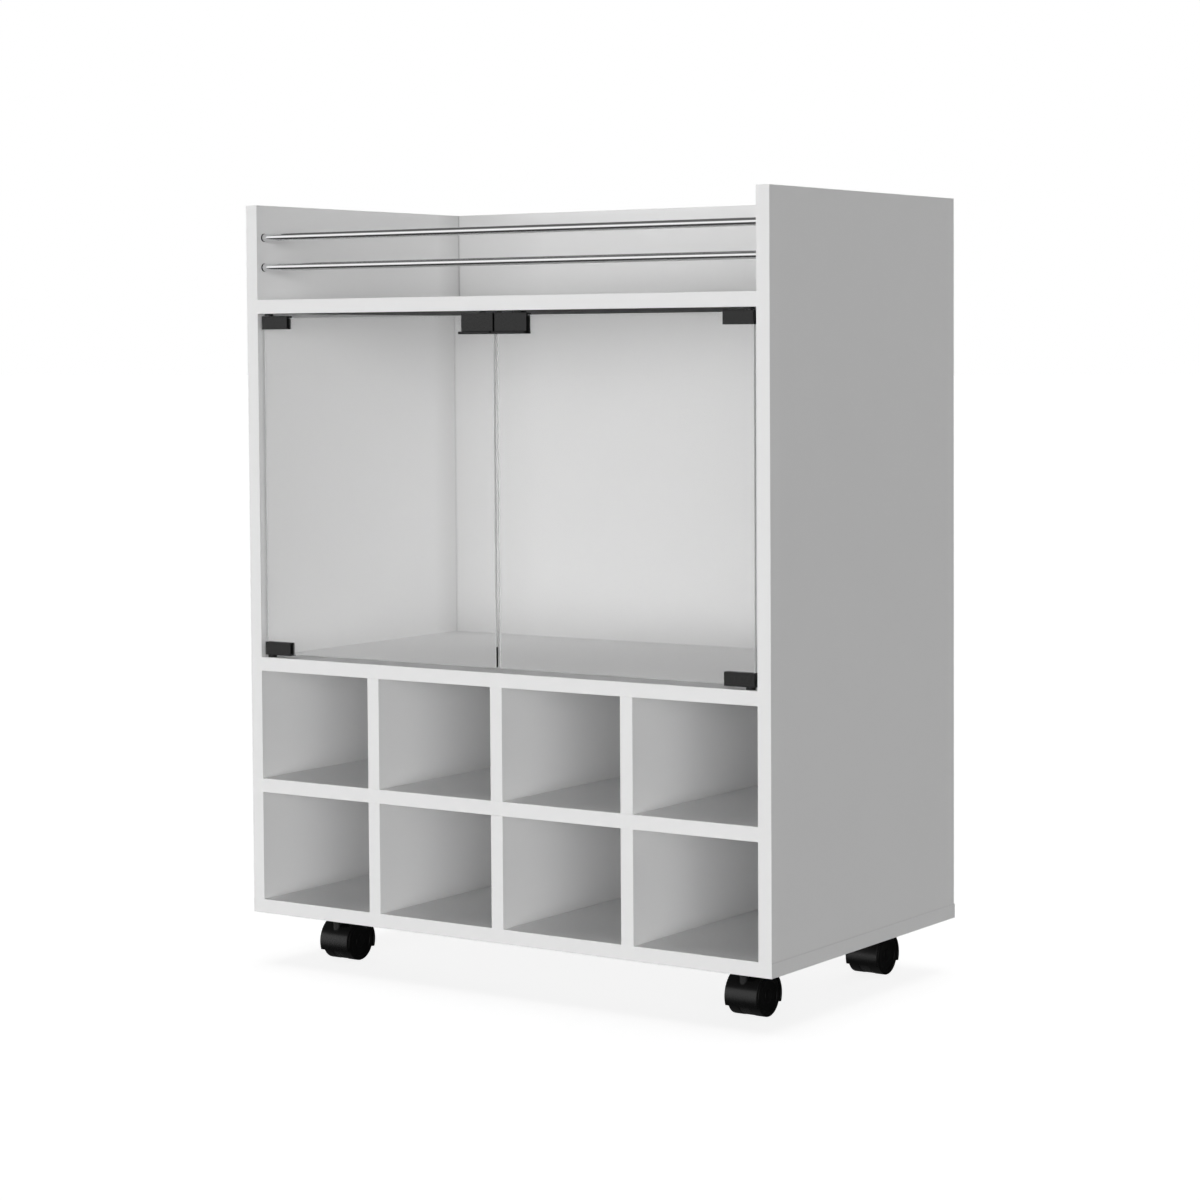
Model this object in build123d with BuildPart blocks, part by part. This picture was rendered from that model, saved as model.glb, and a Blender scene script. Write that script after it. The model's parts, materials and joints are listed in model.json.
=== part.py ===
from build123d import *

import os

# A bar cart: a board cabinet with glass doors, bottle cubbies and a railed tray, on twin-wheel casters.
# Sizes are in millimetres: x to the right, y to the back, z up from the floor.

# Body
body_width = 700.0
body_depth = 400.0
board = 16.0
cubbies_across = 4
cubby_height = 124.5
cabinet_height = 394.0
tray_wall = 108.0
back_inset = 10.0
tray_back_inset = 1.5
tray_back_gap = 0.5
base_back_step = 2.0
edge_break = 0.4

# Housings cut in the boards for the dividers and the back
housing_depth = 4.0
housing_stop = 14.0
housing_clearance = 0.1

# Cam fittings that draw the top shelf and the cabinet floor to the sides
cam_diameter = 15.0
cam_roof = 3.5
cam_setback = 24.0
cam_edge = 50.0
cam_slot_width = 8.4
cam_drive_width = 1.4
cam_drive_length = 9.0
cam_drive_depth = 2.0
bolt_diameter = 6.0
bolt_head_diameter = 7.6
bolt_head_length = 4.0
bolt_bite = 11.0

# Dowels of the rack shelf and the tray's back, and screws through the base and the back
dowel_diameter = 8.0
dowel_bite = 11.0
dowel_hold = 18.0
dowel_edge = 60.0
tray_dowel_edge = 25.0
screw_diameter = 5.0
screw_head_diameter = 9.6
screw_length = 48.0
screw_edge = 60.0
fastener_clearance = 0.05
end_gap = 0.2

# Rails of the tray
rail_diameter = 8.6
rail_setback = 12.0
rail_seat = 10.0
lower_rail_height = 37.2
rail_spacing = 34.0

# Glass doors
glass = 4.0
glass_corner = 1.5
glass_play = 0.4
glass_fit = 0.1
meeting_gap = 2.7
door_setback = 1.5

# Clamps on the glass: the jaws, bridge, closed end and pad are the same on hinges and pulls
front_jaw = 2.5
pad = 0.8
pad_margin = 1.0
back_jaw = 2.2
bridge = 2.0
clamp_end = 0.8
clamp_edge = 0.5
shelf_gap = 2.8
set_screw_diameter = 4.0
set_screw_spacing = 18.0

# Pivot hinges
hinge_width = 37.4
hinge_height = 15.0
hinge_side_gap = 4.5
pivot_side_gap = 11.6
pivot_diameter = 4.0
pivot_clearance = 0.05
pivot_reach = 9.0
bush_flange_diameter = 10.2
bush_flange_gap = 0.3
bush_sleeve_diameter = 6.4
bush_end_gap = 0.5

# Pulls
pull_width = 42.4
pull_height = 22.6
lip_reach = 6.1
lip_thickness = 3.0
lip_round = 1.2

# Magnetic catch under the top shelf
catch_width = 53.2
catch_depth = 14.2
catch_height = 9.0
catch_setback = 12.0
magnet_pocket_width = 14.0
magnet_pocket_depth = 8.0
magnet_spacing = 22.0
magnet_fit = 0.2
magnet_air_gap = 0.3

# Casters
wheel_radius = 22.1
axle_drop = 38.4
caster_from_side = 72.5
front_swivel = 63.6
back_swivel = 78.1
caster_width = 40.0
caster_trail = 18.0
hood_clearance = 1.3
hood_wall = 3.6
hood_skirt = 9.5
web = 13.0
web_gap = 0.5
web_ground_gap = 1.2
wheel_inset = 0.2
wheel_dish_radius = 16.5
wheel_dish_depth = 0.9
axle_diameter = 6.0
axle_end_gap = 0.4
axle_cap = 2.0
running_clearance = 0.05
kingpin_diameter = 10.0
kingpin_collar_diameter = 16.0
kingpin_collar_height = 3.0
kingpin_floor = 3.5
kingpin_end_gap = 0.3
plate_size = 42.0
plate_thickness = 2.5
plate_corner = 5.0

# Levels and places that follow from the sizes
base_z = wheel_radius + axle_drop
base_top = base_z + board
rack_z = base_top + cubby_height
floor_z = rack_z + board + cubby_height
floor_top = floor_z + board
ceiling_z = floor_top + cabinet_height
tray_floor = ceiling_z + board
rim_z = tray_floor + tray_wall
side_height = rim_z - base_top
inner_x = body_width / 2 - board
side_mid_x = inner_x + board / 2
lip_proud = lip_reach - door_setback
front_y = -(body_depth + base_back_step - lip_proud) / 2
back_y = front_y + body_depth
mid_y = front_y + body_depth / 2
back_panel_y = back_y - back_inset - board
back_panel_mid_y = back_panel_y + board / 2
shelf_depth = back_panel_y - front_y
shelf_mid_y = front_y + shelf_depth / 2
tray_back_y = back_y - tray_back_inset - board
tray_back_mid_y = tray_back_y + board / 2
tray_back_x = inner_x - tray_back_gap
top_shelf_depth = tray_back_y + board - front_y
divider_pitch = (2 * inner_x + board) / cubbies_across
divider_xs = [-inner_x - board / 2 + divider_pitch * n for n in range(1, cubbies_across)]
housing_width = board + 2 * housing_clearance
housing_length = shelf_depth - housing_stop
housing_mid_y = front_y + housing_stop + housing_length / 2
tongue = housing_depth - housing_clearance
back_panel_width = 2 * (inner_x + tongue)
back_housing_height = ceiling_z - base_top + housing_depth
back_panel_height = back_housing_height + tongue

# Places of the fittings
cam_height = board - cam_roof
cam_x = inner_x - cam_setback
cam_ys = [front_y + cam_edge, back_panel_y - cam_edge]
cam_points = [(x, y) for x in (-cam_x, cam_x) for y in cam_ys]
bolt_levels = [z + board / 2 for z in (floor_z, ceiling_z)]
bolt_points = [(y, z) for y in cam_ys for z in bolt_levels]
bolt_length = bolt_bite + cam_setback + bolt_head_length / 2 - fastener_clearance
dowel_points = [(y, rack_z + board / 2) for y in (front_y + dowel_edge, back_panel_y - dowel_edge)]
tray_dowel_zs = [tray_floor + tray_dowel_edge, rim_z - tray_dowel_edge]
tray_dowel_points = [(tray_back_mid_y, z) for z in tray_dowel_zs]
screw_head_height = (screw_head_diameter - screw_diameter) / 2
screw_hold = screw_length - board + end_gap
side_screw_ys = [front_y + screw_edge, back_y - screw_edge]
side_screw_points = [(x, y) for x in (-side_mid_x, side_mid_x) for y in side_screw_ys]
back_screw_xs = [-inner_x + screw_edge, inner_x - screw_edge]
back_screw_zs = [z + board / 2 for z in (rack_z, floor_z)]
back_screw_points = [(x, z) for x in back_screw_xs for z in back_screw_zs]
rail_y = front_y + rail_setback
rail_zs = [tray_floor + lower_rail_height, tray_floor + lower_rail_height + rail_spacing]
rail_length = 2 * (inner_x + rail_seat - end_gap)

# Places of the doors; the right door is drawn and the left one is its mirror image
clamp_front_y = front_y + door_setback
glass_front_y = clamp_front_y + front_jaw
glass_back_y = glass_front_y + glass
clamp_depth = front_jaw + glass + pad + back_jaw
clamp_back_y = clamp_front_y + clamp_depth
pivot_x = inner_x - pivot_side_gap
pivot_y = glass_front_y + glass / 2
glass_z0 = floor_top + shelf_gap + bridge
glass_z1 = ceiling_z - shelf_gap - bridge - glass_play
hinge_x1 = inner_x - hinge_side_gap
hinge_x0 = hinge_x1 - hinge_width
hinge_mid_x = (hinge_x0 + hinge_x1) / 2
pull_x0 = meeting_gap / 2
pull_mid_x = pull_x0 + pull_width / 2
pull_mid_z = ceiling_z - shelf_gap - (pull_height + bridge) / 2
glass_x0 = pull_x0 + clamp_end + glass_fit
glass_x1 = hinge_x1 - clamp_end - glass_fit
clamp_top = ceiling_z - shelf_gap
clamp_bottom = floor_top + shelf_gap
bush_flange_height = shelf_gap - bush_flange_gap
bush_points = [(x, pivot_y) for x in (-pivot_x, pivot_x)]
bush_sleeve_height = pivot_reach + bush_end_gap
catch_front_y = front_y + catch_setback
magnet_xs = [-magnet_spacing / 2, magnet_spacing / 2]
magnet_front_y = clamp_back_y + magnet_air_gap
magnet_back_y = catch_front_y + magnet_pocket_depth
set_screw_xs = [hinge_mid_x - set_screw_spacing / 2, hinge_mid_x + set_screw_spacing / 2]

# Places of the casters
caster_x = body_width / 2 - caster_from_side
swivel_ys = {"front": front_y + front_swivel, "back": back_y - back_swivel}
swivels = {
    f"{end}_{hand}": (side * caster_x, swivel_y)
    for end, swivel_y in swivel_ys.items()
    for hand, side in (("left", -1), ("right", 1))
}
hood_inner = wheel_radius + hood_clearance
hood_outer = hood_inner + hood_wall
kingpin_bore_z = wheel_radius - hood_skirt + kingpin_floor
wheel_x0 = web / 2 + web_gap
wheel_x1 = caster_width / 2 - wheel_inset
axle_half = wheel_x1 - axle_cap - axle_end_gap

os.makedirs("parts", exist_ok=True)


def keep(piece, node):
    """Labels a finished piece and writes it as one node."""
    piece.label = node
    export_step(piece, f"parts/{node}.step")


def drill(plane, points, diameter, depth):
    """Sinks holes, a clearance wider than what they take, from a face into the piece being built."""
    with BuildSketch(plane) as mouths:
        with Locations(*points):
            Circle(diameter / 2 + fastener_clearance)
    extrude(mouths.sketch, amount=depth, mode=Mode.SUBTRACT)


def countersink(planes):
    """Sinks through holes for countersunk screws from the faces that the planes lie on."""
    with Locations(*planes):
        CounterSinkHole(
            screw_diameter / 2 + fastener_clearance,
            screw_head_diameter / 2 + fastener_clearance,
            counter_sink_angle=90,
        )


def house(plane, depth):
    """Cuts the stopped housings of a row of dividers into a face of the board being built."""
    with BuildSketch(plane) as slots:
        with Locations(*[(x, housing_mid_y) for x in divider_xs]):
            Rectangle(housing_width, housing_length)
    extrude(slots.sketch, amount=depth, mode=Mode.SUBTRACT)


def shelf_board(shelf_z, depth):
    """Makes the bare board of a shelf, with its front edges broken."""
    with BuildSketch(Plane.XY.offset(shelf_z)) as outline:
        with Locations((0, front_y + depth / 2)):
            Rectangle(2 * inner_x, depth)
    extrude(outline.sketch, amount=board)
    chamfer(faces().sort_by(Axis.Y)[0].edges().filter_by(Axis.X), edge_break)


def screw_seats(shelf_z):
    """Drills the back edge of a shelf for the screws of the back panel."""
    back_holes = [(x, shelf_z + board / 2) for x in back_screw_xs]
    drill(Plane.XZ.offset(-back_panel_y), back_holes, screw_diameter, screw_hold)


def cam_seats(shelf_z):
    """Sinks the pockets of the cam locks below a shelf, and from its ends the channels of their bolts."""
    drill(Plane.XY.offset(shelf_z), cam_points, cam_diameter, cam_height + fastener_clearance)
    for side in (-1, 1):
        channels = [(y, shelf_z + board / 2) for y in cam_ys]
        drill(Plane.YZ.offset(side * inner_x), channels, bolt_head_diameter, -side * cam_setback)


def dowels(points, gap):
    """Adds dowels between both sides and a board that stands a gap from them."""
    for side in (-1, 1):
        with BuildSketch(Plane.YZ.offset(side * (inner_x + dowel_bite - fastener_clearance))) as ends:
            with Locations(*points):
                Circle(dowel_diameter / 2)
        extrude(ends.sketch, amount=-side * (dowel_bite + gap + dowel_hold - 2 * fastener_clearance))


def screws(planes):
    """Adds countersunk screws, with their heads on the planes and their shanks along the normals."""
    with Locations(*planes):
        Cone(
            screw_head_diameter / 2,
            screw_diameter / 2,
            screw_head_height,
            align=(Align.CENTER, Align.CENTER, Align.MIN),
        )
        Cylinder(screw_diameter / 2, screw_length, align=(Align.CENTER, Align.CENTER, Align.MIN))


# Base panel, with housings for the lower dividers and the back, and countersunk screw holes
with BuildPart() as base_panel:
    with BuildSketch(Plane.XY.offset(base_z)):
        with Locations((0, mid_y + base_back_step / 2)):
            Rectangle(body_width, body_depth + base_back_step)
    extrude(amount=board)
    chamfer(base_panel.faces().sort_by(Axis.Z)[0].edges(), edge_break)
    chamfer(base_panel.edges().filter_by(Axis.Y).group_by(Axis.Z)[-1], edge_break)
    house(Plane.XY.offset(base_top), -housing_depth)
    with BuildSketch(Plane.XY.offset(base_top)):
        with Locations((0, back_panel_mid_y)):
            Rectangle(back_panel_width + 2 * housing_clearance, housing_width)
    extrude(amount=-housing_depth, mode=Mode.SUBTRACT)
    countersink([Plane((x, y, base_z), z_dir=(0, 0, -1)) for x, y in side_screw_points])
keep(base_panel.part, "base_panel")

# Right side panel, with the housing of the back and blind holes for bolts, dowels, rails and screws
with BuildPart() as right_side_panel:
    with BuildSketch(Plane.XY.offset(base_top)):
        with Locations((side_mid_x, mid_y)):
            Rectangle(board, body_depth)
    extrude(amount=side_height)
    chamfer(right_side_panel.faces().sort_by(Axis.X)[-1].edges(), edge_break)
    chamfer(right_side_panel.edges().filter_by(Axis.Y).group_by(Axis.Z)[-1].sort_by(Axis.X)[0], edge_break)
    with BuildSketch(Plane.YZ.offset(inner_x)):
        with Locations((back_panel_mid_y, base_top)):
            Rectangle(housing_width, back_housing_height, align=(Align.CENTER, Align.MIN))
    extrude(amount=housing_depth, mode=Mode.SUBTRACT)
    drill(Plane.YZ.offset(inner_x), bolt_points, bolt_diameter, bolt_bite)
    drill(Plane.YZ.offset(inner_x), dowel_points + tray_dowel_points, dowel_diameter, dowel_bite)
    drill(Plane.YZ.offset(inner_x), [(rail_y, z) for z in rail_zs], rail_diameter, rail_seat)
    drill(Plane.XY.offset(base_top), [(side_mid_x, y) for y in side_screw_ys], screw_diameter, screw_hold)
keep(right_side_panel.part, "right_side_panel")

with BuildPart() as left_side_panel:
    mirror(right_side_panel.part, about=Plane.YZ)
keep(left_side_panel.part, "left_side_panel")

# Top shelf, the floor of the tray: cams, bushes of the upper hinges and the housing of the back below
with BuildPart() as top_shelf:
    shelf_board(ceiling_z, top_shelf_depth)
    with BuildSketch(Plane.XY.offset(ceiling_z)):
        with Locations((0, back_panel_mid_y)):
            Rectangle(2 * inner_x, housing_width)
    extrude(amount=housing_depth, mode=Mode.SUBTRACT)
    cam_seats(ceiling_z)
    drill(Plane.XY.offset(ceiling_z), bush_points, bush_sleeve_diameter, bush_sleeve_height + end_gap)
keep(top_shelf.part, "top_shelf")

# Cabinet floor: cams and divider housings below, bushes of the lower hinges above, screws behind
with BuildPart() as cabinet_floor:
    shelf_board(floor_z, shelf_depth)
    screw_seats(floor_z)
    cam_seats(floor_z)
    house(Plane.XY.offset(floor_z), housing_depth)
    drill(Plane.XY.offset(floor_top), bush_points, bush_sleeve_diameter, -bush_sleeve_height - end_gap)
keep(cabinet_floor.part, "cabinet_floor")

# Rack shelf between the two rows of cubbies: housings on both faces, dowels in its ends, screws behind
with BuildPart() as rack_shelf:
    shelf_board(rack_z, shelf_depth)
    screw_seats(rack_z)
    house(Plane.XY.offset(rack_z), housing_depth)
    house(Plane.XY.offset(rack_z + board), -housing_depth)
    for side in (-1, 1):
        drill(Plane.YZ.offset(side * inner_x), dowel_points, dowel_diameter, -side * dowel_hold)
keep(rack_shelf.part, "rack_shelf")

# Dividers of the cubbies: the shoulder at the front hides the housings that hold the tongues behind it
for row, row_z in (("lower", base_top), ("upper", rack_z + board)):
    for number, x in enumerate(divider_xs, start=1):
        with BuildPart() as divider:
            with BuildSketch(Plane.YZ.offset(x - board / 2)):
                with Locations((shelf_mid_y, row_z + cubby_height / 2)):
                    Rectangle(shelf_depth, cubby_height)
                with Locations((housing_mid_y + housing_clearance / 2, row_z + cubby_height / 2)):
                    Rectangle(housing_length - housing_clearance, cubby_height + 2 * tongue)
            extrude(amount=board)
            chamfer(divider.faces().sort_by(Axis.Y)[0].edges().filter_by(Axis.Z), edge_break)
        keep(divider.part, f"{row}_divider_{number}")

# Back panel, held in housings of the base, the sides and the top shelf and screwed to the other shelves
with BuildPart() as back_panel:
    with BuildSketch(Plane.XZ.offset(-back_panel_y)):
        with Locations((0, base_top - housing_depth)):
            Rectangle(back_panel_width, back_panel_height, align=(Align.CENTER, Align.MIN))
    extrude(amount=-board)
    countersink([Plane((x, back_panel_y + board, z), z_dir=(0, 1, 0)) for x, z in back_screw_points])
keep(back_panel.part, "back_panel")

# Back of the tray, which stands on the top shelf between the sides
with BuildPart() as tray_back:
    with BuildSketch(Plane.XY.offset(tray_floor)):
        with Locations((0, tray_back_mid_y)):
            Rectangle(2 * tray_back_x, board)
    extrude(amount=tray_wall)
    chamfer(tray_back.edges().filter_by(Axis.X).group_by(Axis.Z)[-1], edge_break)
    for side in (-1, 1):
        drill(Plane.YZ.offset(side * tray_back_x), tray_dowel_points, dowel_diameter, -side * dowel_hold)
keep(tray_back.part, "tray_back")

# Rails of the tray, seated in the side panels
for name, z in zip(("lower_rail", "upper_rail"), rail_zs):
    with BuildPart() as rail:
        with BuildSketch(Plane.YZ.offset(-rail_length / 2)):
            with Locations((rail_y, z)):
                Circle(rail_diameter / 2)
        extrude(amount=rail_length)
    keep(rail.part, name)

# Cam locks in the undersides of the top shelf and the cabinet floor
with BuildPart() as shelf_cam_locks:
    for shelf_z in (floor_z, ceiling_z):
        with BuildSketch(Plane.XY.offset(shelf_z)):
            with Locations(*cam_points):
                Circle(cam_diameter / 2)
        extrude(amount=cam_height)
        with BuildSketch(Plane.XY.offset(shelf_z + (board - cam_slot_width) / 2)):
            for side in (-1, 1):
                with Locations(*[(side * (cam_x + cam_diameter / 4), y) for y in cam_ys]):
                    Rectangle(cam_diameter / 2 + bolt_head_length, cam_slot_width)
        extrude(amount=cam_height, mode=Mode.SUBTRACT)
        with BuildSketch(Plane.XY.offset(shelf_z)):
            with Locations(*cam_points):
                Rectangle(cam_drive_length, cam_drive_width)
        extrude(amount=cam_drive_depth, mode=Mode.SUBTRACT)
keep(shelf_cam_locks.part, "shelf_cam_locks")

# Cam bolts, each with its head in a cam lock and its shank in a side panel
with BuildPart() as shelf_cam_bolts:
    for side in (-1, 1):
        tip_x = side * (inner_x + bolt_bite - fastener_clearance)
        with BuildSketch(Plane.YZ.offset(tip_x)):
            with Locations(*bolt_points):
                Circle(bolt_diameter / 2)
        extrude(amount=-side * bolt_length)
        with BuildSketch(Plane.YZ.offset(tip_x - side * bolt_length)):
            with Locations(*bolt_points):
                Circle(bolt_head_diameter / 2)
        extrude(amount=side * bolt_head_length)
keep(shelf_cam_bolts.part, "shelf_cam_bolts")

# Dowels between the sides and the rack shelf, and between the sides and the back of the tray
with BuildPart() as rack_dowels:
    dowels(dowel_points, 0)
keep(rack_dowels.part, "rack_dowels")

with BuildPart() as tray_back_dowels:
    dowels(tray_dowel_points, tray_back_gap)
keep(tray_back_dowels.part, "tray_back_dowels")

# Screws from under the base into the sides
with BuildPart() as base_screws:
    screws([Plane((x, y, base_z)) for x, y in side_screw_points])
keep(base_screws.part, "base_screws")

# Screws through the back panel into the shelves
with BuildPart() as back_screws:
    screws([Plane((x, back_panel_y + board, z), z_dir=(0, -1, 0)) for x, z in back_screw_points])
keep(back_screws.part, "back_screws")

# Flanged bushes let into the shelves, which carry the pins of the hinges
with BuildPart() as hinge_bushes:
    for face_z, into in ((floor_top, -1), (ceiling_z, 1)):
        with BuildSketch(Plane.XY.offset(face_z)):
            with Locations(*bush_points):
                Circle(bush_flange_diameter / 2)
        extrude(amount=-into * bush_flange_height)
        with BuildSketch(Plane.XY.offset(face_z)):
            with Locations(*bush_points):
                Circle(bush_sleeve_diameter / 2)
        extrude(amount=into * bush_sleeve_height)
        with BuildSketch(Plane.XY.offset(face_z - into * bush_flange_height)):
            with Locations(*bush_points):
                Circle(pivot_diameter / 2 + pivot_clearance)
        extrude(amount=into * (bush_flange_height + pivot_reach + bush_end_gap / 2), mode=Mode.SUBTRACT)
keep(hinge_bushes.part, "hinge_bushes")

# Housing of the magnetic catch, with two open pockets towards the doors
with BuildPart() as catch_housing:
    with BuildSketch(Plane.XY.offset(ceiling_z)):
        with Locations((0, catch_front_y + catch_depth / 2)):
            Rectangle(catch_width, catch_depth)
        with Locations(*[(x, catch_front_y) for x in magnet_xs]):
            Rectangle(magnet_pocket_width, 2 * magnet_pocket_depth, mode=Mode.SUBTRACT)
    extrude(amount=-catch_height)
    chamfer(catch_housing.faces().sort_by(Axis.Z)[0].outer_wire().edges(), clamp_edge)
keep(catch_housing.part, "catch_housing")

# Magnets in the pockets, an air gap away from the steel pulls
with BuildPart() as catch_magnets:
    with BuildSketch(Plane.XY.offset(ceiling_z)):
        with Locations(*[(x, (magnet_front_y + magnet_back_y) / 2) for x in magnet_xs]):
            Rectangle(magnet_pocket_width - 2 * magnet_fit, magnet_back_y - magnet_front_y)
    extrude(amount=-catch_height)
keep(catch_magnets.part, "catch_magnets")


def clamp_outline(plane, height, lip):
    """Draws the outer section of a clamp, perhaps with a finger lip."""
    with BuildSketch(plane) as outline:
        with Locations((clamp_front_y, 0)):
            Rectangle(clamp_depth, height, align=(Align.MIN, Align.MAX))
        if lip:
            with Locations((clamp_front_y - lip_reach, lip_thickness - height)):
                Rectangle(lip_reach + front_jaw, lip_thickness, align=(Align.MIN, Align.MAX))
    return outline.sketch


def clamp_channel(plane, height):
    """Draws the section of the channel between the jaws that takes the glass and the pad."""
    with BuildSketch(plane) as channel:
        with Locations((glass_front_y, -bridge)):
            Rectangle(glass + pad, height, align=(Align.MIN, Align.MAX))
    return channel.sketch


def keep_both(piece, node):
    """Writes a piece of the right door, and its mirror image for the left door."""
    keep(piece, f"right_door_{node}")
    with BuildPart() as mirrored:
        mirror(piece, about=Plane.YZ)
    keep(mirrored.part, f"left_door_{node}")


# Glass of a door, with ground corners
with BuildPart() as door_glass:
    with BuildSketch(Plane.XZ.offset(-glass_front_y)):
        with Locations(((glass_x0 + glass_x1) / 2, (glass_z0 + glass_z1) / 2)):
            RectangleRounded(glass_x1 - glass_x0, glass_z1 - glass_z0, glass_corner)
    extrude(amount=-glass)
    chamfer(door_glass.faces().filter_by(Axis.Y).edges(), edge_break)
keep_both(door_glass.part, "glass")

# Pivot hinges: a clamp closed at the door's outer edge, with holes for the pin and the set screws
for node, edge_z, up in (("top_hinge", clamp_top, 1), ("bottom_hinge", clamp_bottom, -1)):
    section_plane = Plane((hinge_x0, 0, edge_z), x_dir=(0, 1, 0), z_dir=(up, 0, 0))
    with BuildPart() as hinge:
        extrude(clamp_outline(section_plane, hinge_height, lip=False), amount=up * hinge_width)
        channel = clamp_channel(section_plane, hinge_height)
        extrude(channel, amount=up * (hinge_width - clamp_end), mode=Mode.SUBTRACT)
        chamfer(hinge.faces().sort_by(Axis.Y)[0].edges(), clamp_edge)
        drill(Plane.XY.offset(edge_z), [(pivot_x, pivot_y)], pivot_diameter, -up * bridge)
        screw_z = edge_z - up * (hinge_height + bridge) / 2
        screw_points = [(x, screw_z) for x in set_screw_xs]
        drill(Plane.XZ.offset(-clamp_back_y), screw_points, set_screw_diameter, back_jaw)
    keep_both(hinge.part, node)

# Pins of the hinges, from the bridge into the bush
with BuildPart() as hinge_pins:
    for edge_z, up in ((clamp_top, 1), (clamp_bottom, -1)):
        with BuildSketch(Plane.XY.offset(edge_z - up * bridge)):
            with Locations((pivot_x, pivot_y)):
                Circle(pivot_diameter / 2)
        extrude(amount=up * (bridge + shelf_gap + pivot_reach))
keep_both(hinge_pins.part, "hinge_pins")

# Pull: a clamp closed at the door's meeting edge, with a finger lip along its lower edge
pull_plane = Plane((pull_x0, 0, clamp_top), x_dir=(0, 1, 0), z_dir=(1, 0, 0))
with BuildPart() as door_pull:
    extrude(clamp_outline(pull_plane, pull_height, lip=True), amount=pull_width)
    channel = clamp_channel(pull_plane.offset(clamp_end), pull_height)
    extrude(channel, amount=pull_width - clamp_end, mode=Mode.SUBTRACT)
    fillet(door_pull.faces().sort_by(Axis.Y)[0].edges().filter_by(Axis.X), lip_round)
    drill(Plane.XZ.offset(-clamp_back_y), [(pull_mid_x, pull_mid_z)], set_screw_diameter, back_jaw)
keep_both(door_pull.part, "pull")

# Pads between the glass and the back jaws
with BuildPart() as pressure_pads:
    with BuildSketch(Plane.XZ.offset(-glass_back_y)):
        for edge_z, up in ((clamp_top, 1), (clamp_bottom, -1)):
            with Locations((hinge_mid_x, edge_z - up * (hinge_height + bridge) / 2)):
                Rectangle(hinge_width - 2 * pad_margin, hinge_height - bridge - 2 * pad_margin)
        with Locations((pull_mid_x, pull_mid_z)):
            Rectangle(pull_width - 2 * pad_margin, pull_height - bridge - 2 * pad_margin)
    extrude(amount=-pad)
keep_both(pressure_pads.part, "pressure_pads")

# Set screws that press the pads on the glass
with BuildPart() as set_screws:
    with BuildSketch(Plane.XZ.offset(-glass_back_y - pad)):
        for edge_z, up in ((clamp_top, 1), (clamp_bottom, -1)):
            with Locations(*[(x, edge_z - up * (hinge_height + bridge) / 2) for x in set_screw_xs]):
                Circle(set_screw_diameter / 2)
        with Locations((pull_mid_x, pull_mid_z)):
            Circle(set_screw_diameter / 2)
    extrude(amount=-back_jaw)
keep_both(set_screws.part, "set_screws")

# Fixing plates of the casters, each with a hole for its kingpin
with BuildPart() as caster_plates:
    with BuildSketch(Plane.XY.offset(base_z)) as plates:
        with Locations(*swivels.values()):
            Rectangle(plate_size, plate_size)
        chamfer(plates.vertices(), plate_corner)
        with Locations(*swivels.values()):
            Circle(kingpin_diameter / 2 + fastener_clearance, mode=Mode.SUBTRACT)
    extrude(amount=-plate_thickness)
keep(caster_plates.part, "caster_plates")

# Kingpins: a shank with a collar under the plate
with BuildPart() as caster_kingpins:
    with BuildSketch(Plane.XY.offset(base_z)):
        with Locations(*swivels.values()):
            Circle(kingpin_diameter / 2)
    extrude(amount=kingpin_bore_z + kingpin_end_gap - base_z)
    with BuildSketch(Plane.XY.offset(base_z - plate_thickness)):
        with Locations(*swivels.values()):
            Circle(kingpin_collar_diameter / 2)
    extrude(amount=-kingpin_collar_height)
keep(caster_kingpins.part, "caster_kingpins")

# Swivelling casters: hood with a web between the wheels, axle and two wheels
for corner, (swivel_x, swivel_y) in swivels.items():
    axle_y = swivel_y + caster_trail
    hub_plane = Plane((swivel_x, axle_y, wheel_radius), x_dir=(0, 1, 0), z_dir=(1, 0, 0))
    with BuildPart() as hood:
        with BuildSketch(hub_plane):
            Circle(hood_outer)
            Circle(hood_inner, mode=Mode.SUBTRACT)
            with Locations((0, -hood_skirt)):
                Rectangle(2 * hood_outer, hood_outer, align=(Align.CENTER, Align.MAX), mode=Mode.SUBTRACT)
        extrude(amount=caster_width / 2, both=True)
        with BuildSketch(hub_plane):
            Circle(hood_inner)
            with Locations((0, -hood_skirt)):
                Rectangle(2 * hood_outer, hood_outer, align=(Align.CENTER, Align.MAX), mode=Mode.SUBTRACT)
            Circle(wheel_radius - web_ground_gap)
        extrude(amount=web / 2, both=True)
        with BuildSketch(hub_plane):
            Circle(axle_diameter / 2 + fastener_clearance)
        extrude(amount=web / 2, both=True, mode=Mode.SUBTRACT)
        with BuildSketch(Plane.XY.offset(kingpin_bore_z)):
            with Locations((swivel_x, swivel_y)):
                Circle(kingpin_diameter / 2 + running_clearance)
        extrude(amount=hood_outer + axle_drop, mode=Mode.SUBTRACT)
    keep(hood.part, f"{corner}_caster_hood")

    with BuildPart() as axle:
        with BuildSketch(hub_plane):
            Circle(axle_diameter / 2)
        extrude(amount=axle_half, both=True)
    keep(axle.part, f"{corner}_caster_axle")

    for hand, side in (("left", -1), ("right", 1)):
        with BuildPart() as wheel:
            with BuildSketch(hub_plane.offset(side * wheel_x0)):
                Circle(wheel_radius)
            extrude(amount=side * (wheel_x1 - wheel_x0))
            with BuildSketch(hub_plane.offset(side * wheel_x1)):
                Circle(wheel_dish_radius)
            extrude(amount=-side * wheel_dish_depth, mode=Mode.SUBTRACT)
            with BuildSketch(hub_plane.offset(side * wheel_x0)):
                Circle(axle_diameter / 2 + running_clearance)
            extrude(amount=side * (wheel_x1 - axle_cap - wheel_x0), mode=Mode.SUBTRACT)
        keep(wheel.part, f"{corner}_caster_{hand}_wheel")
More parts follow.
